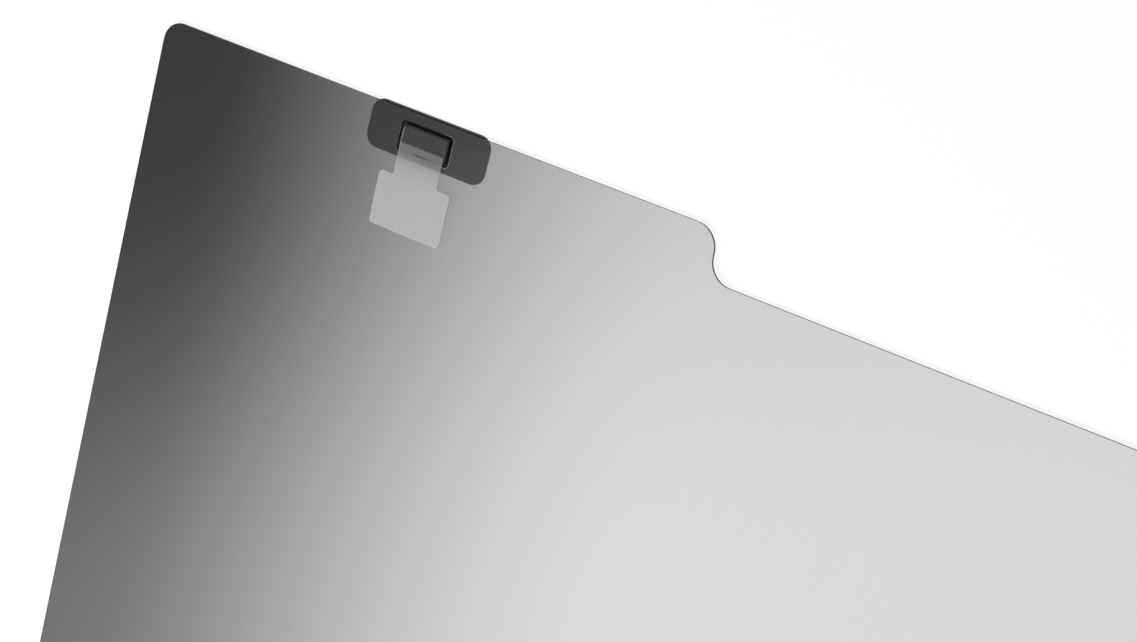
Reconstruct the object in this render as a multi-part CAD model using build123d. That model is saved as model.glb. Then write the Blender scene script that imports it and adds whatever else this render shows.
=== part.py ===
from build123d import *
import os

# Laptop privacy filter in millimetres: a louvre film with a clip on each raised stretch of its top edge.
# It lies on its pads with the tabs on top. +X runs along the width, +Y to the top edge, +Z up.
# The origin is the middle of its footprint, on the surface that it lies on.

# Film, one sheet for a 14 inch wide screen
film_width = 310.0
film_height = 174.5
film_thickness = 0.45
corner_radius = 3.3

# Camera recess: depth, and the raised stretch from the film's side to the middle of a shoulder
recess_depth = 7.5
raised_length = 104.0

# Window for a clip, from the film's side to its middle and from the top edge to its upper side
clip_inset = 53.0
window_width = 9.8
window_height = 4.95
window_below_edge = 1.4
window_corner_radius = 0.7

# Backing pad, with the borders that it has round the window and how far it stands above the film
pad_border_side = 6.15
pad_border_below = 1.0
pad_overhang = 0.3
pad_thickness = 0.4
pad_corner_radius = 2.1

# Boss of a pad, which comes up through the window: its gap all round and its height above the film
boss_gap = 0.55
boss_lift = 0.4
boss_corner_radius = 0.3

# Tab strip, glued flat on the boss a little inside its sides and its upper end
tab_thickness = 0.2
tab_side_inset = 0.35
tab_end_inset = 0.35
tab_end_radius = 0.5

# Bend past the boss, from which the tab droops until its lower end is this far above the film
bend_radius = 20.0
droop_gap = 0.05

# Neck from the window's lower side to the shoulders, and the paddle that sticks to the screen's frame
neck_length = 3.6
neck_radius = 0.4
paddle_width = 13.2
paddle_length = 8.5
paddle_radius = 0.7

# Levels from the resting surface up
film_under_z = pad_thickness
film_top_z = film_under_z + film_thickness
boss_top_z = film_top_z + boss_lift

# Places across the film, with the footprint centred on the origin
half_width = film_width / 2
overall_length = film_height + pad_overhang
pad_top_y = overall_length / 2
film_top_y = pad_top_y - pad_overhang
film_bottom_y = -overall_length / 2
recess_y = film_top_y - recess_depth
shoulder_x = half_width - raised_length
shoulder_radius = recess_depth / 2
clip_x = half_width - clip_inset

# Places down a clip
window_top_y = film_top_y - window_below_edge
window_bottom_y = window_top_y - window_height
window_middle_y = (window_top_y + window_bottom_y) / 2
pad_bottom_y = window_bottom_y - pad_border_below
tab_end_y = window_top_y - boss_gap - tab_end_inset
paddle_top_y = window_bottom_y - neck_length
paddle_bottom_y = paddle_top_y - paddle_length

# Slope of the drooping stretch, and a foot past its end so that the strip is cut square there
droop_slope = (boss_lift - droop_gap) / (window_bottom_y - paddle_bottom_y)
foot_y = paddle_bottom_y - tab_thickness
foot_z = boss_top_z - droop_slope * (window_bottom_y - foot_y)

# Widths of a clip
pad_width = window_width + 2 * pad_border_side
boss_width = window_width - 2 * boss_gap
boss_length = window_height - 2 * boss_gap
tab_width = boss_width - 2 * tab_side_inset


def make_film():
    """The film: half of its outline with the S-shaped shoulder, mirrored, less the two windows."""
    with BuildPart() as film:
        with BuildSketch(Plane.XY.offset(film_under_z)):
            with BuildLine():
                Line((0, recess_y), (shoulder_x - shoulder_radius, recess_y))
                foot = JernArc((shoulder_x - shoulder_radius, recess_y), (1, 0), shoulder_radius, 90)
                brow = JernArc(foot @ 1, (0, 1), shoulder_radius, -90)
                top = Line(brow @ 1, (half_width - corner_radius, film_top_y))
                upper = JernArc(top @ 1, (1, 0), corner_radius, -90)
                side = Line(upper @ 1, (half_width, film_bottom_y + corner_radius))
                lower = JernArc(side @ 1, (0, -1), corner_radius, -90)
                Line(lower @ 1, (0, film_bottom_y))
                mirror(about=Plane.YZ)
            make_face()
            with Locations((-clip_x, window_middle_y), (clip_x, window_middle_y)):
                RectangleRounded(window_width, window_height, window_corner_radius, mode=Mode.SUBTRACT)
        extrude(amount=film_thickness)
    return film.part


def make_pad():
    """The left clip's backing pad: a rounded plate under the film, with its boss up through the window."""
    with BuildPart() as pad:
        with BuildSketch():
            with Locations((-clip_x, (pad_top_y + pad_bottom_y) / 2)):
                RectangleRounded(pad_width, pad_top_y - pad_bottom_y, pad_corner_radius)
        extrude(amount=pad_thickness)
        with BuildSketch(Plane.XY.offset(pad_thickness)):
            with Locations((-clip_x, window_middle_y)):
                RectangleRounded(boss_width, boss_length, boss_corner_radius)
        extrude(amount=boss_top_z - pad_thickness)
    return pad.part


def make_tab():
    """The left tab: a T-shaped strip with its narrow end on the boss, drooping to its paddle's lower end."""
    with BuildPart() as tab:
        with BuildSketch(Plane.YZ):
            with BuildLine():
                underside = FilletPolyline(
                    (pad_top_y, boss_top_z),
                    (window_bottom_y, boss_top_z),
                    (foot_y, foot_z),
                    radius=bend_radius,
                )
                offset(underside, amount=tab_thickness, side=Side.RIGHT)
            make_face()
        extrude(amount=-half_width)
        with BuildSketch() as plan:
            with Locations((-clip_x, (tab_end_y + paddle_bottom_y) / 2)):
                Rectangle(tab_width, tab_end_y - paddle_bottom_y)
            with Locations((-clip_x, (paddle_top_y + paddle_bottom_y) / 2)):
                Rectangle(paddle_width, paddle_length)
            fillet(plan.vertices().group_by(Axis.Y)[-1], tab_end_radius)
            shoulders = plan.vertices().group_by(Axis.Y)[1]
            fillet(shoulders.sort_by(Axis.X)[1:3], neck_radius)
            paddle_low, shoulders = plan.vertices().group_by(Axis.Y)[:2]
            outer = shoulders.sort_by(Axis.X)
            fillet([*paddle_low, outer[0], outer[-1]], paddle_radius)
        extrude(amount=boss_top_z + 2 * tab_thickness, mode=Mode.INTERSECT)
    return tab.part


os.makedirs("parts", exist_ok=True)
export_step(make_film(), "parts/privacy_film.step")
for piece, solid in (("pad", make_pad()), ("tab", make_tab())):
    export_step(solid, f"parts/left_{piece}.step")
    export_step(mirror(solid, about=Plane.YZ), f"parts/right_{piece}.step")
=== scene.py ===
"""Looks of a laptop privacy filter: a louvred film carried by two black pads with frosted tabs.

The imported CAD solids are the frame. Lengths here are millimetres, as on a maker's drawing, and
they turn into metres where a mesh, a node or a lamp takes them.
"""

import logging
import math
from dataclasses import dataclass, field
from enum import Enum
from typing import Any

import bmesh
import bpy
from mathutils import Matrix, Vector


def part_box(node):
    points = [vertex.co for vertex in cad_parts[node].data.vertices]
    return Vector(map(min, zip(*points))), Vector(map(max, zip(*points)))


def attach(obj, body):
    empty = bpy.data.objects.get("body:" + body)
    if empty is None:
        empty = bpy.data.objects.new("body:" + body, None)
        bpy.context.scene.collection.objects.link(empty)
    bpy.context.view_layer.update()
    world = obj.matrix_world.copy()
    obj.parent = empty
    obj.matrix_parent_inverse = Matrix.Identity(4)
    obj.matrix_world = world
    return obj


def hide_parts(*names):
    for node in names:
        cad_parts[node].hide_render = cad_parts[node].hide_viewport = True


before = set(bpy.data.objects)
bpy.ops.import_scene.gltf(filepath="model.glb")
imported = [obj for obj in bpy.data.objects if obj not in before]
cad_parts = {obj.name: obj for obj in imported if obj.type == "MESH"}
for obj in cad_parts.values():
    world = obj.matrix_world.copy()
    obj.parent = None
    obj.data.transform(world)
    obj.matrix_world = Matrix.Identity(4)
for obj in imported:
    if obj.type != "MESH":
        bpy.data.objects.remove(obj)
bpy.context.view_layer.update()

LOG = logging.getLogger("privacy_filter")
MM = 0.001
BODY = "root"

WHITE = "#FFFFFF"
CLEAR_POLYESTER = "#FDFDFD"

# A wave texture of scale 1 repeats after this many metres.
WAVE_PERIOD = math.pi / 10
# At this blend, Layer Weight's Facing is one minus the cosine of the angle.
COSINE_BLEND = 0.5
# A Mix node has several inputs of one name, so its two colours and their mix go by number.
FIRST_COLOUR = 6
SECOND_COLOUR = 7
MIXED_COLOUR = 2

# Corners of a CAD mesh's loose triangles that are this near, in millimetres, are one corner.
MERGE_REACH = 0.002
# Faces that meet within the first angle are one flat, and edges past the second are rounded.
FLAT_ANGLE = math.radians(0.5)
SHARP_ANGLE = math.radians(50)
ROUNDING_STEPS = 3
ROUND_PROFILE = 0.5

Values = dict[int | str, Any]


class Side(Enum):
    """Which end of the film's top edge a clip sits at, seen with the tabs towards the eye."""

    LEFT = "left"
    RIGHT = "right"


class Slot(Enum):
    """The record's material slots."""

    FILM = "louvre_film"
    PAD = "pad"
    TAB = "tab"


def linear(colour: str) -> tuple[float, float, float, float]:
    """Turns an sRGB hex colour into the linear values that a shader takes.

    Args:
        colour: Six hex digits after a hash sign.

    Returns:
        Linear red, green and blue, and an alpha of 1.
    """
    parts = [int(colour[i : i + 2], 16) / 255 for i in (1, 3, 5)]
    red, green, blue = (p / 12.92 if p <= 0.04045 else ((p + 0.055) / 1.055) ** 2.4 for p in parts)
    return red, green, blue, 1.0


def add_node(
    tree: bpy.types.NodeTree, kind: str, values: Values | None = None, **settings: Any
) -> bpy.types.Node:
    """Adds a node with its settings, and fills or links its inputs.

    Args:
        tree: The node tree that gets the node.
        kind: Blender's name for the kind of node.
        values: Input name or number, with the value or the socket that feeds it.
        **settings: The node's own properties.

    Returns:
        The new node.
    """
    node = tree.nodes.new(kind)
    for name, value in settings.items():
        setattr(node, name, value)
    for key, value in (values or {}).items():
        if isinstance(value, bpy.types.NodeSocket):
            tree.links.new(value, node.inputs[key])
        else:
            node.inputs[key].default_value = value
    return node


def empty_material(name: str) -> tuple[bpy.types.Material, bpy.types.NodeTree]:
    """Makes a material whose node tree is still empty.

    Args:
        name: The material's name.

    Returns:
        The material and its node tree.
    """
    material = bpy.data.materials.new(name)
    material.use_nodes = True
    material.node_tree.nodes.clear()
    return material, material.node_tree


def per_metre(size_mm: float) -> float:
    """Gives the texture scale at which a pattern's features are this many millimetres across."""
    return 1.0 / (size_mm * MM)


@dataclass(frozen=True)
class LouvreFilm:
    """Louvred polyester under an embossed anti-glare coat.

    Upright black louvres let the eye through square on and shut as it moves sideways, so the
    sheet is a clear grey in front and black from the side. The coat's low index mirrors little,
    and its embossing blurs a lamp into a soft bloom.
    """

    name: str = "louvre_polyester_embossed_anti_glare"
    body: str = "#050506"
    clear_share: float = 0.558
    # Slope of the sight line across the louvres at which they start to shade, and shut.
    shade_slope: float = 0.467
    shut_slope: float = 0.789
    # Shut louvres still pass a trace.
    shut_share: float = 0.0115
    index: float = 1.38
    roughness: float = 0.292
    grain_mm: float = 0.25
    grain_height_mm: float = 0.0001
    grain_strength: float = 0.3
    # Real louvres stand about 0.1 mm apart, too fine to show, so only their uneven spacing is
    # drawn, as faint streaks several louvres wide.
    streak_mm: tuple[float, float, float] = (0.5, 90.0, 90.0)
    streak_depth: float = 0.03

    def material(self) -> bpy.types.Material:
        """Builds the film's see-through material.

        Returns:
            The material for both broad faces of the film.
        """
        material, tree = empty_material(self.name)
        place = add_node(tree, "ShaderNodeTexCoord").outputs["Object"]
        grain = add_node(
            tree, "ShaderNodeTexNoise", {"Vector": place, "Scale": per_metre(self.grain_mm)}
        )
        bump = add_node(
            tree,
            "ShaderNodeBump",
            {
                "Height": grain.outputs["Fac"],
                "Strength": self.grain_strength,
                "Distance": self.grain_height_mm * MM,
            },
        ).outputs["Normal"]
        open_share = self.open_share(tree, place)

        dark = add_node(
            tree, "ShaderNodeBsdfDiffuse", {"Color": linear(self.body), "Normal": bump}
        )
        clear = add_node(tree, "ShaderNodeBsdfTransparent", {"Color": linear(WHITE)})
        sheet = add_node(
            tree,
            "ShaderNodeMixShader",
            {0: open_share, 1: dark.outputs[0], 2: clear.outputs[0]},
        )
        gloss = add_node(
            tree,
            "ShaderNodeBsdfGlossy",
            {"Color": linear(WHITE), "Roughness": self.roughness, "Normal": bump},
            distribution="BECKMANN",
        )
        surface = add_node(
            tree,
            "ShaderNodeMixShader",
            {0: outer_gloss(tree, self.index), 1: sheet.outputs[0], 2: gloss.outputs[0]},
        )
        add_node(tree, "ShaderNodeOutputMaterial", {"Surface": surface.outputs[0]})
        return material

    def open_share(
        self, tree: bpy.types.NodeTree, place: bpy.types.NodeSocket
    ) -> bpy.types.NodeSocket:
        """Builds how much light one face passes, from the slope across the louvres.

        What is left of a sight line after its parts along the louvres and upright lies across
        them, and its slope is that part over the upright one. A ray crosses the upper and the
        lower face, so each passes the square root of the whole.

        Args:
            tree: The film's node tree.
            place: The surface point in Object coordinates.

        Returns:
            The share of light that one face lets through.
        """
        along = add_node(tree, "ShaderNodeCombineXYZ", {"Y": 1.0}).outputs[0]
        upward = add_node(tree, "ShaderNodeCombineXYZ", {"Z": 1.0}).outputs[0]
        squares = []
        for axis in (along, upward):
            facing = add_node(
                tree, "ShaderNodeLayerWeight", {"Blend": COSINE_BLEND, "Normal": axis}
            )
            cosine = add_node(
                tree,
                "ShaderNodeMath",
                {0: 1.0, 1: facing.outputs["Facing"]},
                operation="SUBTRACT",
            )
            square = add_node(
                tree, "ShaderNodeMath", {0: cosine.outputs[0], 1: 2.0}, operation="POWER"
            )
            squares.append(square.outputs[0])
        both = add_node(tree, "ShaderNodeMath", {0: squares[0], 1: squares[1]}, operation="ADD")
        across = add_node(
            tree, "ShaderNodeMath", {0: 1.0, 1: both.outputs[0]}, operation="SUBTRACT"
        )
        squared = add_node(
            tree, "ShaderNodeMath", {0: across.outputs[0], 1: squares[1]}, operation="DIVIDE"
        )
        slope = add_node(tree, "ShaderNodeMath", {0: squared.outputs[0]}, operation="SQRT")
        whole = add_node(
            tree,
            "ShaderNodeMapRange",
            {
                "Value": slope.outputs[0],
                "From Min": self.shade_slope,
                "From Max": self.shut_slope,
                "To Min": self.clear_share,
                "To Max": self.shut_share,
            },
            interpolation_type="SMOOTHSTEP",
        )
        along_louvres = add_node(
            tree,
            "ShaderNodeMapping",
            {"Vector": place, "Scale": tuple(per_metre(size) for size in self.streak_mm)},
        )
        streaks = add_node(
            tree, "ShaderNodeTexNoise", {"Vector": along_louvres.outputs[0], "Scale": 1.0}
        )
        uneven = add_node(
            tree,
            "ShaderNodeMapRange",
            {"Value": streaks.outputs["Fac"], "To Min": 1.0 - self.streak_depth, "To Max": 1.0},
        )
        passed = add_node(
            tree,
            "ShaderNodeMath",
            {0: whole.outputs[0], 1: uneven.outputs[0]},
            operation="MULTIPLY",
        )
        root = add_node(tree, "ShaderNodeMath", {0: passed.outputs[0]}, operation="SQRT")
        return root.outputs[0]


def outer_gloss(tree: bpy.types.NodeTree, index: float) -> bpy.types.NodeSocket:
    """Builds the share of light that a clear sheet's outer side mirrors, and none on its inside.

    Args:
        tree: The node tree of a clear material.
        index: The sheet's index of refraction.

    Returns:
        The mirrored share.
    """
    mirrored = add_node(tree, "ShaderNodeFresnel", {"IOR": index}).outputs[0]
    inside = add_node(tree, "ShaderNodeNewGeometry").outputs["Backfacing"]
    outside = add_node(tree, "ShaderNodeMath", {0: 1.0, 1: inside}, operation="SUBTRACT")
    return add_node(
        tree, "ShaderNodeMath", {0: mirrored, 1: outside.outputs[0]}, operation="MULTIPLY"
    ).outputs[0]


@dataclass(frozen=True)
class KnifeCutEdge:
    """The laminate's knife-cut edge, where the black louvres end in clear polyester.

    It reads as a fine dark line round the film, a little paler between the louvres.
    """

    name: str = "louvre_laminate_knife_cut"
    louvre: str = "#161617"
    between: str = "#3A3B3C"
    roughness: float = 0.45
    index: float = 1.57
    # The louvres' own 0.1 mm spacing would not show, so the stripes are drawn 0.6 mm apart.
    louvre_mm: float = 0.6

    def material(self) -> bpy.types.Material:
        """Builds the edge's striped dark material.

        Returns:
            The material for the film's cut edges.
        """
        material, tree = empty_material(self.name)
        place = add_node(tree, "ShaderNodeTexCoord").outputs["Object"]
        stripes = add_node(
            tree,
            "ShaderNodeTexWave",
            {"Vector": place, "Scale": per_metre(self.louvre_mm) * WAVE_PERIOD},
            wave_type="BANDS",
            bands_direction="X",
        )
        colour = add_node(
            tree,
            "ShaderNodeMix",
            {
                "Factor": stripes.outputs["Fac"],
                FIRST_COLOUR: linear(self.louvre),
                SECOND_COLOUR: linear(self.between),
            },
            data_type="RGBA",
        )
        surface = add_node(
            tree,
            "ShaderNodeBsdfPrincipled",
            {
                "Base Color": colour.outputs[MIXED_COLOUR],
                "Roughness": self.roughness,
                "IOR": self.index,
            },
        )
        add_node(tree, "ShaderNodeOutputMaterial", {"Surface": surface.outputs[0]})
        return material


@dataclass(frozen=True)
class PunchedLip:
    """Lip that the punch turns up on the laminate's clear outer sheet, with a painted highlight.

    It shows as a hair line round a window, dark as the film for the most part, with a painted
    highlight, streaked by noise, on the side towards the film's middle.
    """

    name: str = "polyester_punched_lip"
    clear: str = "#2C2D2E"
    painted_highlight: str = "#A8A9AA"
    # From the film's middle to where the painted highlight has ended, and to where it is full.
    highlight_x: tuple[float, float] = (99.6, 97.6)
    roughness: float = 0.6
    index: float = 1.4
    # Size of the noise streaks in the painted highlight.
    highlight_streak_mm: float = 0.8

    def material(self) -> bpy.types.Material:
        """Builds the lip's streaked pale material.

        Returns:
            The material for the window lips.
        """
        material, tree = empty_material(self.name)
        place = add_node(tree, "ShaderNodeTexCoord").outputs["Object"]
        highlight_streaks = add_node(
            tree, "ShaderNodeTexNoise", {"Vector": place, "Scale": per_metre(self.highlight_streak_mm)}
        )
        across = add_node(tree, "ShaderNodeSeparateXYZ", {"Vector": place}).outputs["X"]
        outward = add_node(tree, "ShaderNodeMath", {0: across}, operation="ABSOLUTE")
        # Painted highlight: the lip turns paler on its side towards the film's middle, streaked by
        # noise.
        highlight_share = add_node(
            tree,
            "ShaderNodeMapRange",
            {
                "Value": outward.outputs[0],
                "From Min": self.highlight_x[0] * MM,
                "From Max": self.highlight_x[1] * MM,
                "To Max": highlight_streaks.outputs["Fac"],
            },
        )
        colour = add_node(
            tree,
            "ShaderNodeMix",
            {
                "Factor": highlight_share.outputs[0],
                FIRST_COLOUR: linear(self.clear),
                SECOND_COLOUR: linear(self.painted_highlight),
            },
            data_type="RGBA",
        )
        surface = add_node(
            tree,
            "ShaderNodeBsdfPrincipled",
            {
                "Base Color": colour.outputs[MIXED_COLOUR],
                "Roughness": self.roughness,
                "IOR": self.index,
            },
        )
        add_node(tree, "ShaderNodeOutputMaterial", {"Surface": surface.outputs[0]})
        return material


@dataclass(frozen=True)
class BlackPad:
    """Black rubber pad, moulded with a sand-blasted skin.

    A deep matt black with almost no gloss, and a trace of grain where light skims it. The rim that
    stands free above the film carries painted light, a dark grey where the film's edge shades it.
    """

    name: str = "black_rubber_moulded_matt"
    colour: str = "#212122"
    worn: str = "#282829"
    painted_rim_light: str = "#505051"
    # Where the free rim starts, and the width over which the painted rim light comes in.
    rim_y: float = 87.1
    rim_fade: float = 0.1
    roughness: float = 0.55
    index: float = 1.5
    gloss_level: float = 0.08
    grain_mm: float = 0.3
    grain_detail: float = 3.0
    grain_height_mm: float = 0.0005
    grain_strength: float = 0.5

    def material(self) -> bpy.types.Material:
        """Builds the pad's grained black material.

        Returns:
            The material for a pad.
        """
        material, tree = empty_material(self.name)
        place = add_node(tree, "ShaderNodeTexCoord").outputs["Object"]
        grain = add_node(
            tree,
            "ShaderNodeTexNoise",
            {
                "Vector": place,
                "Scale": per_metre(self.grain_mm),
                "Detail": self.grain_detail,
            },
        ).outputs["Fac"]
        colour = add_node(
            tree,
            "ShaderNodeMix",
            {
                "Factor": grain,
                FIRST_COLOUR: linear(self.colour),
                SECOND_COLOUR: linear(self.worn),
            },
            data_type="RGBA",
        )
        height = add_node(tree, "ShaderNodeSeparateXYZ", {"Vector": place}).outputs["Y"]
        rim = add_node(
            tree,
            "ShaderNodeMapRange",
            {
                "Value": height,
                "From Min": self.rim_y * MM,
                "From Max": (self.rim_y + self.rim_fade) * MM,
            },
        )
        # Painted light: the free rim turns a lighter grey where the film's edge shades it from the
        # softbox.
        lit_rim_colour = add_node(
            tree,
            "ShaderNodeMix",
            {
                "Factor": rim.outputs[0],
                FIRST_COLOUR: colour.outputs[MIXED_COLOUR],
                SECOND_COLOUR: linear(self.painted_rim_light),
            },
            data_type="RGBA",
        )
        bump = add_node(
            tree,
            "ShaderNodeBump",
            {
                "Height": grain,
                "Strength": self.grain_strength,
                "Distance": self.grain_height_mm * MM,
            },
        )
        surface = add_node(
            tree,
            "ShaderNodeBsdfPrincipled",
            {
                "Base Color": lit_rim_colour.outputs[MIXED_COLOUR],
                "Roughness": self.roughness,
                "IOR": self.index,
                "Specular IOR Level": self.gloss_level,
                "Normal": bump.outputs[0],
            },
        )
        add_node(tree, "ShaderNodeOutputMaterial", {"Surface": surface.outputs[0]})
        return material


@dataclass(frozen=True)
class TabSkin:
    """Smooth upper face of the tab, clear polyester rolled to a satin.

    The eye goes straight through it to the frosting below, under a soft weak gloss.
    """

    name: str = "polyester_rolled_satin"
    index: float = 1.2
    roughness: float = 0.5
    roughness_swing: float = 0.06
    cloud_mm: float = 2.0

    def material(self) -> bpy.types.Material:
        """Builds the clear skin.

        Returns:
            The material for a tab's upper face.
        """
        material, tree = empty_material(self.name)
        place = add_node(tree, "ShaderNodeTexCoord").outputs["Object"]
        clouds = add_node(
            tree, "ShaderNodeTexNoise", {"Vector": place, "Scale": per_metre(self.cloud_mm)}
        )
        satin = add_node(
            tree,
            "ShaderNodeMapRange",
            {
                "Value": clouds.outputs["Fac"],
                "To Min": self.roughness - self.roughness_swing,
                "To Max": self.roughness + self.roughness_swing,
            },
        )
        clear = add_node(tree, "ShaderNodeBsdfTransparent", {"Color": linear(CLEAR_POLYESTER)})
        gloss = add_node(
            tree,
            "ShaderNodeBsdfGlossy",
            {"Color": linear(WHITE), "Roughness": satin.outputs[0]},
        )
        surface = add_node(
            tree,
            "ShaderNodeMixShader",
            {0: outer_gloss(tree, self.index), 1: clear.outputs[0], 2: gloss.outputs[0]},
        )
        add_node(tree, "ShaderNodeOutputMaterial", {"Surface": surface.outputs[0]})
        return material


@dataclass(frozen=True)
class TabFrost:
    """Etched underside of the tab, with adhesive on its bonded end.

    The etching passes light on as a soft milky grey. Where the adhesive wets it, it turns clear
    and shows the black boss, apart from specks of trapped air.
    """

    name: str = "polyester_etched_frost"
    colour: str = "#F1F1F1"
    # Share of light that is scattered on the bonded end, on the free neck and on the paddle, whose
    # own adhesive adds to it.
    haze_bonded: float = 0.005
    haze_neck: float = 0.56
    haze_paddle: float = 0.86
    # Of the scattered light, the share that goes on through; the rest comes back.
    through_share: float = 0.785
    bond_end_y: float = 82.35
    bond_fade: float = 0.2
    # Stretch of the neck over which the paddle's haze comes in.
    neck_y: tuple[float, float] = (76.5, 80.5)
    # Trapped air: the size of a speck, how ragged it is, the noise levels where one starts and is
    # full, and its haze.
    speck_mm: float = 0.35
    speck_detail: float = 1.0
    speck_levels: tuple[float, float] = (0.58, 0.7)
    speck_haze: float = 0.16
    # Adhesive squeezed out past the boss wets a short stroke: its middle on the right tab, half
    # its length and height, the multiples of these at which it starts to fade and has ended, and
    # the share of haze that it leaves.
    stroke_middle: tuple[float, float, float] = (102.0, 81.1, 0.0)
    stroke_half: tuple[float, float] = (1.9, 0.2)
    stroke_fade: tuple[float, float] = (0.6, 1.2)
    stroke_haze: float = 0.6
    # Etched frosting is finer than 0.05 mm, so its grain is drawn several times coarser.
    grain_mm: float = 0.3
    grain_depth: float = 0.08

    def material(self) -> bpy.types.Material:
        """Builds the frosting that clears where it is bonded.

        Returns:
            The material for a tab's underside.
        """
        material, tree = empty_material(self.name)
        place = add_node(tree, "ShaderNodeTexCoord").outputs["Object"]
        height = add_node(tree, "ShaderNodeSeparateXYZ", {"Vector": place}).outputs["Y"]
        free = add_node(
            tree,
            "ShaderNodeMapRange",
            {
                "Value": height,
                "From Min": self.neck_y[0] * MM,
                "From Max": self.neck_y[1] * MM,
                "To Min": self.haze_paddle,
                "To Max": self.haze_neck,
            },
        )
        haze = add_node(
            tree,
            "ShaderNodeMapRange",
            {
                "Value": height,
                "From Min": (self.bond_end_y - self.bond_fade) * MM,
                "From Max": self.bond_end_y * MM,
                "To Min": free.outputs[0],
                "To Max": self.haze_bonded,
            },
        )
        grain = add_node(
            tree, "ShaderNodeTexNoise", {"Vector": place, "Scale": per_metre(self.grain_mm)}
        )
        speckle = add_node(
            tree,
            "ShaderNodeMapRange",
            {
                "Value": grain.outputs["Fac"],
                "To Min": 1.0 - self.grain_depth,
                "To Max": 1.0 + self.grain_depth,
            },
        )
        grained = add_node(
            tree,
            "ShaderNodeMath",
            {0: haze.outputs[0], 1: speckle.outputs[0]},
            operation="MULTIPLY",
        )
        milky = add_node(
            tree,
            "ShaderNodeMath",
            {0: grained.outputs[0], 1: self.dry_share(tree, place)},
            operation="MULTIPLY",
        )
        air = add_node(
            tree,
            "ShaderNodeTexNoise",
            {
                "Vector": place,
                "Scale": per_metre(self.speck_mm),
                "Detail": self.speck_detail,
            },
        )
        specks = add_node(
            tree,
            "ShaderNodeMapRange",
            {
                "Value": air.outputs["Fac"],
                "From Min": self.speck_levels[0],
                "From Max": self.speck_levels[1],
                "To Max": self.speck_haze,
            },
        )
        whole = add_node(
            tree,
            "ShaderNodeMath",
            {0: milky.outputs[0], 1: specks.outputs[0]},
            operation="MAXIMUM",
        )
        surface = frosted(tree, linear(self.colour), self.through_share, whole.outputs[0])
        add_node(tree, "ShaderNodeOutputMaterial", {"Surface": surface})
        return material

    def dry_share(
        self, tree: bpy.types.NodeTree, place: bpy.types.NodeSocket
    ) -> bpy.types.NodeSocket:
        """Builds how much of the haze is left where squeezed-out adhesive wets the frosting.

        Args:
            tree: The frosting's node tree.
            place: The surface point in Object coordinates.

        Returns:
            The share, 1 away from the stroke.
        """
        both_tabs = add_node(
            tree, "ShaderNodeVectorMath", {0: place}, operation="ABSOLUTE"
        ).outputs[0]
        offset = add_node(
            tree,
            "ShaderNodeVectorMath",
            {0: both_tabs, 1: tuple(part * MM for part in self.stroke_middle)},
            operation="SUBTRACT",
        ).outputs[0]
        reach = (per_metre(self.stroke_half[0]), per_metre(self.stroke_half[1]), 0.0)
        scaled = add_node(
            tree, "ShaderNodeVectorMath", {0: offset, 1: reach}, operation="MULTIPLY"
        ).outputs[0]
        away = add_node(tree, "ShaderNodeVectorMath", {0: scaled}, operation="LENGTH")
        return add_node(
            tree,
            "ShaderNodeMapRange",
            {
                "Value": away.outputs["Value"],
                "From Min": self.stroke_fade[0],
                "From Max": self.stroke_fade[1],
                "To Min": self.stroke_haze,
                "To Max": 1.0,
            },
        ).outputs[0]


@dataclass(frozen=True)
class TabEdge:
    """Die-cut edge of the tab, roughened by the die.

    It gathers light into a pale line where the eye meets it from within the sheet, also beside
    the clear end, and shows faint from outside.
    """

    name: str = "polyester_die_cut_edge"
    colour: str = "#F5F5F5"
    haze: float = 0.5
    haze_swing: float = 0.12
    # Share of the haze that shows from outside.
    outer_share: float = 0.3
    through_share: float = 0.7
    # The die's drag marks, drawn coarser than their real 0.02 mm.
    drag_mm: float = 0.15

    def material(self) -> bpy.types.Material:
        """Builds the milky edge.

        Returns:
            The material for a tab's edge.
        """
        material, tree = empty_material(self.name)
        place = add_node(tree, "ShaderNodeTexCoord").outputs["Object"]
        drag = add_node(
            tree, "ShaderNodeTexNoise", {"Vector": place, "Scale": per_metre(self.drag_mm)}
        )
        milky = add_node(
            tree,
            "ShaderNodeMapRange",
            {
                "Value": drag.outputs["Fac"],
                "To Min": self.haze - self.haze_swing,
                "To Max": self.haze + self.haze_swing,
            },
        )
        inside = add_node(tree, "ShaderNodeNewGeometry").outputs["Backfacing"]
        gathered = add_node(
            tree,
            "ShaderNodeMapRange",
            {"Value": inside, "To Min": self.outer_share, "To Max": 1.0},
        )
        haze = add_node(
            tree,
            "ShaderNodeMath",
            {0: milky.outputs[0], 1: gathered.outputs[0]},
            operation="MULTIPLY",
        )
        surface = frosted(tree, linear(self.colour), self.through_share, haze.outputs[0])
        add_node(tree, "ShaderNodeOutputMaterial", {"Surface": surface})
        return material


def frosted(
    tree: bpy.types.NodeTree,
    colour: tuple[float, float, float, float],
    through_share: float,
    haze: bpy.types.NodeSocket,
) -> bpy.types.NodeSocket:
    """Builds a frosted face, which scatters some light each way and lets the rest straight on.

    Args:
        tree: The node tree of a frosted material.
        colour: The frosting's linear colour.
        through_share: Share of the scattered light that goes on through.
        haze: Share of all light that is scattered.

    Returns:
        The face's shader.
    """
    back = add_node(tree, "ShaderNodeBsdfDiffuse", {"Color": colour})
    through = add_node(tree, "ShaderNodeBsdfTranslucent", {"Color": colour})
    scattered = add_node(
        tree, "ShaderNodeMixShader", {0: through_share, 1: back.outputs[0], 2: through.outputs[0]}
    )
    clear = add_node(tree, "ShaderNodeBsdfTransparent", {"Color": linear(CLEAR_POLYESTER)})
    return add_node(
        tree, "ShaderNodeMixShader", {0: haze, 1: clear.outputs[0], 2: scattered.outputs[0]}
    ).outputs[0]


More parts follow.
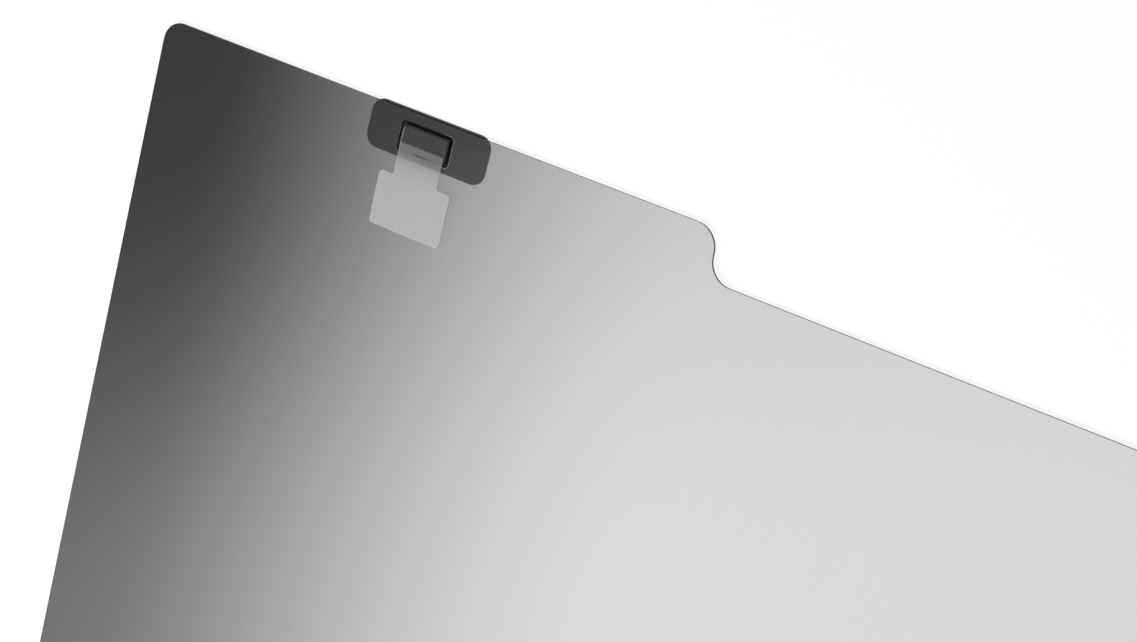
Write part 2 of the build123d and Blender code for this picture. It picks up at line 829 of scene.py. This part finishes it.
@dataclass(frozen=True)
class PaperFloor:
    """White paper sweep, matt.

    It shows pure white to the eye, in gloss and through clear sheets, and keeps a soft shadow.
    """

    name: str = "white_paper_matt"
    colour: str = "#FAFAFA"
    seen_share: float = 0.8
    fibre_mm: float = 1.5
    fibre_height_mm: float = 0.02
    fibre_strength: float = 0.05

    def material(self) -> bpy.types.Material:
        """Builds the floor's white material.

        Returns:
            The material for the floor.
        """
        material, tree = empty_material(self.name)
        place = add_node(tree, "ShaderNodeTexCoord").outputs["Object"]
        fibre = add_node(
            tree, "ShaderNodeTexNoise", {"Vector": place, "Scale": per_metre(self.fibre_mm)}
        )
        bump = add_node(
            tree,
            "ShaderNodeBump",
            {
                "Height": fibre.outputs["Fac"],
                "Strength": self.fibre_strength,
                "Distance": self.fibre_height_mm * MM,
            },
        )
        paper = add_node(
            tree,
            "ShaderNodeBsdfDiffuse",
            {"Color": linear(self.colour), "Normal": bump.outputs[0]},
        )
        white = add_node(tree, "ShaderNodeEmission", {"Color": linear(WHITE), "Strength": 1.0})
        share = add_node(
            tree,
            "ShaderNodeMath",
            {0: seen_ray(tree), 1: self.seen_share},
            operation="MULTIPLY",
        )
        surface = add_node(
            tree,
            "ShaderNodeMixShader",
            {0: share.outputs[0], 1: paper.outputs[0], 2: white.outputs[0]},
        )
        add_node(tree, "ShaderNodeOutputMaterial", {"Surface": surface.outputs[0]})
        return material


def seen_ray(tree: bpy.types.NodeTree) -> bpy.types.NodeSocket:
    """Builds a value of 1 for rays that show the background: seen, mirrored or through a sheet.

    Args:
        tree: The node tree of the floor or the world.

    Returns:
        The value, 0 for rays that only light the object.
    """
    path = add_node(tree, "ShaderNodeLightPath").outputs
    seen = add_node(
        tree,
        "ShaderNodeMath",
        {0: path["Is Camera Ray"], 1: path["Is Glossy Ray"]},
        operation="MAXIMUM",
    )
    return add_node(
        tree,
        "ShaderNodeMath",
        {0: seen.outputs[0], 1: path["Is Transmission Ray"]},
        operation="MAXIMUM",
    ).outputs[0]


def softened_copy(node: str, name: str, rounding: float) -> bpy.types.Object:
    """Copies a CAD node, merges its loose triangles and rounds its sharp edges.

    Args:
        node: The CAD node's name.
        name: The new piece's name.
        rounding: Width of the rounding in millimetres, or 0 for none.

    Returns:
        The new piece, linked to the scene.
    """
    shape = bmesh.new()
    shape.from_mesh(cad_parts[node].data)
    bmesh.ops.remove_doubles(shape, verts=shape.verts, dist=MERGE_REACH * MM)
    if rounding:
        bmesh.ops.dissolve_limit(
            shape, angle_limit=FLAT_ANGLE, verts=shape.verts, edges=shape.edges
        )
        sharp = [e for e in shape.edges if e.calc_face_angle(0.0) > SHARP_ANGLE]
        bmesh.ops.bevel(
            shape,
            geom=sharp,
            offset=rounding * MM,
            offset_type="OFFSET",
            segments=ROUNDING_STEPS,
            profile=ROUND_PROFILE,
            affect="EDGES",
            clamp_overlap=True,
        )
    mesh = bpy.data.meshes.new(name)
    shape.to_mesh(mesh)
    shape.free()
    piece = bpy.data.objects.new(name, mesh)
    bpy.context.scene.collection.objects.link(piece)
    return piece


def seat(piece: bpy.types.Object, slot: Slot, *nodes: str) -> bpy.types.Object:
    """Ties a piece to its body and hides the CAD nodes that it stands for.

    Args:
        piece: The finished piece.
        slot: The record's slot for its finish; not used.
        *nodes: CAD nodes that the piece replaces.

    Returns:
        The same piece.
    """
    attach(piece, BODY)
    if nodes:
        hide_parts(*nodes)
    return piece


@dataclass
class Film:
    """The louvred film, with broad faces that show the louvres and a dark knife-cut edge."""

    node: str = "privacy_film"
    # A face is broad when its normal's upright part, up or down, is more than this.
    broad_upright: float = 0.5
    coat: LouvreFilm = field(default_factory=LouvreFilm)
    edge: KnifeCutEdge = field(default_factory=KnifeCutEdge)

    def build(self) -> bpy.types.Object:
        """Builds and dresses the film.

        Returns:
            The film's piece.
        """
        piece = softened_copy(self.node, "louvred_film", 0.0)
        piece.data.materials.append(self.coat.material())
        piece.data.materials.append(self.edge.material())
        for face in piece.data.polygons:
            face.material_index = 0 if abs(face.normal.z) > self.broad_upright else 1
        return seat(piece, Slot.FILM, self.node)


@dataclass
class WindowLips:
    """The fine lip that the punch turns up round each of the film's two windows."""

    window_width: float = 9.8
    window_height: float = 4.95
    corner_radius: float = 0.7
    # From the film's top edge to the middle of a window.
    below_edge: float = 3.875
    bead_radius: float = 0.05
    # Steps round a corner, and round the bead.
    corner_steps: int = 8
    bead_steps: int = 8
    finish: PunchedLip = field(default_factory=PunchedLip)

    def tree(self) -> bpy.types.NodeTree:
        """Builds the node tree that sweeps a bead round a window and sets one at each clip.

        Returns:
            The tree, with an input for each size.
        """
        tree = bpy.data.node_groups.new("window_lips", "GeometryNodeTree")
        face = tree.interface
        face.new_socket("Geometry", in_out="OUTPUT", socket_type="NodeSocketGeometry")
        for name in ("Width", "Height", "Corner Radius", "Bead Radius"):
            face.new_socket(name, in_out="INPUT", socket_type="NodeSocketFloat")
        for name in ("Left Middle", "Right Middle"):
            face.new_socket(name, in_out="INPUT", socket_type="NodeSocketVector")
        face.new_socket("Finish", in_out="INPUT", socket_type="NodeSocketMaterial")
        given = add_node(tree, "NodeGroupInput").outputs
        outline = add_node(
            tree,
            "GeometryNodeCurvePrimitiveQuadrilateral",
            {"Width": given["Width"], "Height": given["Height"]},
        )
        rounded = add_node(
            tree,
            "GeometryNodeFilletCurve",
            {
                "Curve": outline.outputs[0],
                "Count": self.corner_steps,
                "Radius": given["Corner Radius"],
            },
            mode="POLY",
        )
        bead = add_node(
            tree,
            "GeometryNodeCurvePrimitiveCircle",
            {"Resolution": self.bead_steps, "Radius": given["Bead Radius"]},
        )
        lip = add_node(
            tree,
            "GeometryNodeCurveToMesh",
            {"Curve": rounded.outputs[0], "Profile Curve": bead.outputs[0]},
        )
        middles = add_node(
            tree,
            "GeometryNodeMeshLine",
            {"Count": 2, "Start Location": given["Left Middle"], "Offset": given["Right Middle"]},
            mode="END_POINTS",
        )
        lips = add_node(
            tree,
            "GeometryNodeInstanceOnPoints",
            {"Points": middles.outputs[0], "Instance": lip.outputs[0]},
        )
        solid = add_node(tree, "GeometryNodeRealizeInstances", {"Geometry": lips.outputs[0]})
        dressed = add_node(
            tree,
            "GeometryNodeSetMaterial",
            {"Geometry": solid.outputs[0], "Material": given["Finish"]},
        )
        add_node(tree, "NodeGroupOutput", {"Geometry": dressed.outputs[0]})
        return tree

    def build(self, film_node: str, left_pad: str, right_pad: str) -> bpy.types.Object:
        """Builds both lips as one piece, level with the film's upper face.

        Args:
            film_node: The CAD node of the film.
            left_pad: The CAD node of the left pad, whose middle is the window's.
            right_pad: The CAD node of the right pad.

        Returns:
            The lips' piece.
        """
        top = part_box(film_node)[1]
        middles = []
        for pad in (left_pad, right_pad):
            low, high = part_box(pad)
            middles.append(((low[0] + high[0]) / 2, top[1] - self.below_edge * MM, top[2]))
        tree = self.tree()
        values = {
            "Width": self.window_width * MM,
            "Height": self.window_height * MM,
            "Corner Radius": self.corner_radius * MM,
            "Bead Radius": self.bead_radius * MM,
            "Left Middle": middles[0],
            "Right Middle": middles[1],
            "Finish": self.finish.material(),
        }
        maker = bpy.data.objects.new("window_lips_maker", bpy.data.meshes.new("window_lips_maker"))
        bpy.context.scene.collection.objects.link(maker)
        modifier = maker.modifiers.new("window_lips", "NODES")
        modifier.node_group = tree
        for socket in tree.interface.items_tree:
            if socket.in_out == "INPUT":
                modifier[socket.identifier] = values[socket.name]
        made = maker.evaluated_get(bpy.context.evaluated_depsgraph_get())
        mesh = bpy.data.meshes.new_from_object(made)
        bpy.data.objects.remove(maker)
        mesh.name = "window_lips"
        piece = bpy.data.objects.new("window_lips", mesh)
        bpy.context.scene.collection.objects.link(piece)
        return seat(piece, Slot.FILM)


@dataclass
class ClipFinish:
    """The finishes that both clips share."""

    pad: bpy.types.Material
    tab_skin: bpy.types.Material
    tab_frost: bpy.types.Material
    tab_edge: bpy.types.Material


@dataclass
class Clip:
    """One pad behind the film's top edge, its boss through the window and the tab on the boss."""

    side: Side
    finish: ClipFinish
    film_node: str = "privacy_film"
    pad_rounding: float = 0.06
    tab_rounding: float = 0.04
    # The boss stops short of the tab by the adhesive between them.
    glue_line: float = 0.02
    # A face is edge when its normal's upright part, up or down, is no more than this.
    edge_upright: float = 0.5

    def build_pad(self) -> bpy.types.Object:
        """Builds the pad, with its boss a glue line below the tab, and dresses it.

        Returns:
            The pad's piece.
        """
        node = f"{self.side.value}_pad"
        piece = softened_copy(node, f"{self.side.value}_backing_pad", self.pad_rounding)
        film_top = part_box(self.film_node)[1][2]
        for vertex in piece.data.vertices:
            if vertex.co.z > film_top:
                vertex.co.z -= self.glue_line * MM
        piece.data.materials.append(self.finish.pad)
        return seat(piece, Slot.PAD, node)

    def build_tab(self) -> bpy.types.Object:
        """Builds the tab, and dresses its upper face, its underside and its edge.

        Returns:
            The tab's piece.
        """
        node = f"{self.side.value}_tab"
        piece = softened_copy(node, f"{self.side.value}_frosted_tab", self.tab_rounding)
        for finish in (self.finish.tab_edge, self.finish.tab_skin, self.finish.tab_frost):
            piece.data.materials.append(finish)
        for face in piece.data.polygons:
            if face.normal.z > self.edge_upright:
                face.material_index = 1
            elif face.normal.z < -self.edge_upright:
                face.material_index = 2
        return seat(piece, Slot.TAB, node)


@dataclass
class Studio:
    """White paper sweep, one large overhead softbox and the photograph's camera.

    Turns are in degrees.
    """

    floor_size: float = 40000.0
    floor_drop: float = 0.05
    # Light of the world on the object, of which 1 is white.
    fill: float = 0.2
    softbox_place: tuple[float, float, float] = (-212.6, -149.9, 450.8)
    softbox_size: tuple[float, float] = (769.0, 272.0)
    softbox_turn: float = 28.6
    softbox_watts: float = 3.64
    camera_place: tuple[float, float, float] = (89.82, 159.18, 298.97)
    camera_aim: tuple[float, float, float] = (-70.69, 66.18, 0.85)
    camera_roll: float = -14.586
    focal_px: float = 2400.0
    frame_px: tuple[int, int] = (1137, 642)
    sensor: float = 36.0
    clip_start: float = 10.0
    paper: PaperFloor = field(default_factory=PaperFloor)

    def lay_floor(self) -> bpy.types.Object:
        """Lays the floor just under the pads.

        Returns:
            The floor.
        """
        half = self.floor_size / 2 * MM
        level = -self.floor_drop * MM
        corners = [(x * half, y * half, level) for x, y in ((-1, -1), (1, -1), (1, 1), (-1, 1))]
        mesh = bpy.data.meshes.new("paper_floor")
        mesh.from_pydata(corners, [], [(0, 1, 2, 3)])
        mesh.materials.append(self.paper.material())
        floor = bpy.data.objects.new("paper_floor", mesh)
        bpy.context.scene.collection.objects.link(floor)
        return floor

    def light(self) -> bpy.types.Object:
        """Hangs the softbox and sets the world's dim fill.

        Returns:
            The softbox.
        """
        lamp = bpy.data.lights.new("softbox", "AREA")
        lamp.shape = "ELLIPSE"
        lamp.size, lamp.size_y = (size * MM for size in self.softbox_size)
        lamp.energy = self.softbox_watts
        softbox = bpy.data.objects.new("softbox", lamp)
        softbox.location = Vector(self.softbox_place) * MM
        softbox.rotation_euler.z = math.radians(self.softbox_turn)
        softbox.visible_camera = False
        bpy.context.scene.collection.objects.link(softbox)

        world = bpy.data.worlds.new("white_studio")
        world.use_nodes = True
        tree = world.node_tree
        tree.nodes.clear()
        dim = add_node(
            tree, "ShaderNodeBackground", {"Color": linear(WHITE), "Strength": self.fill}
        )
        white = add_node(
            tree, "ShaderNodeBackground", {"Color": linear(WHITE), "Strength": 1.0}
        )
        shown = add_node(
            tree,
            "ShaderNodeMixShader",
            {0: seen_ray(tree), 1: dim.outputs[0], 2: white.outputs[0]},
        )
        add_node(tree, "ShaderNodeOutputWorld", {"Surface": shown.outputs[0]})
        bpy.context.scene.world = world
        return softbox

    def place_camera(self) -> bpy.types.Object:
        """Places the camera where the photograph was taken from.

        Returns:
            The scene's camera.
        """
        data = bpy.data.cameras.new("camera")
        data.sensor_width = self.sensor
        data.sensor_fit = "HORIZONTAL"
        data.lens = self.focal_px * self.sensor / self.frame_px[0]
        data.clip_start = self.clip_start * MM
        place = Vector(self.camera_place)
        forward = (Vector(self.camera_aim) - place).normalized()
        film_up = Vector((0.0, 1.0, 0.0))
        level_up = (film_up - forward * film_up.dot(forward)).normalized()
        level_right = forward.cross(level_up)
        roll = math.radians(self.camera_roll)
        up = level_up * math.cos(roll) + level_right * math.sin(roll)
        right = forward.cross(up)
        turn = Matrix((right, up, -forward)).transposed()
        camera = bpy.data.objects.new("camera", data)
        camera.matrix_world = Matrix.Translation(place * MM) @ turn.to_4x4()
        bpy.context.scene.collection.objects.link(camera)
        bpy.context.scene.camera = camera
        return camera


def main() -> None:
    """Builds the film, its two clips and the studio, and reports each piece."""
    logging.basicConfig(level=logging.INFO, format="%(name)s: %(message)s")
    bpy.context.scene.view_settings.view_transform = "Standard"
    film = Film()
    pieces = [film.build()]
    pieces.append(WindowLips().build(film.node, "left_pad", "right_pad"))
    finish = ClipFinish(
        BlackPad().material(), TabSkin().material(), TabFrost().material(), TabEdge().material()
    )
    for side in Side:
        clip = Clip(side, finish)
        pieces.append(clip.build_pad())
        pieces.append(clip.build_tab())
    for piece in pieces:
        LOG.info("%s: %d faces", piece.name, len(piece.data.polygons))
    studio = Studio()
    studio.lay_floor()
    studio.light()
    studio.place_camera()
    LOG.info("studio set")


if __name__ == "__main__":
    main()
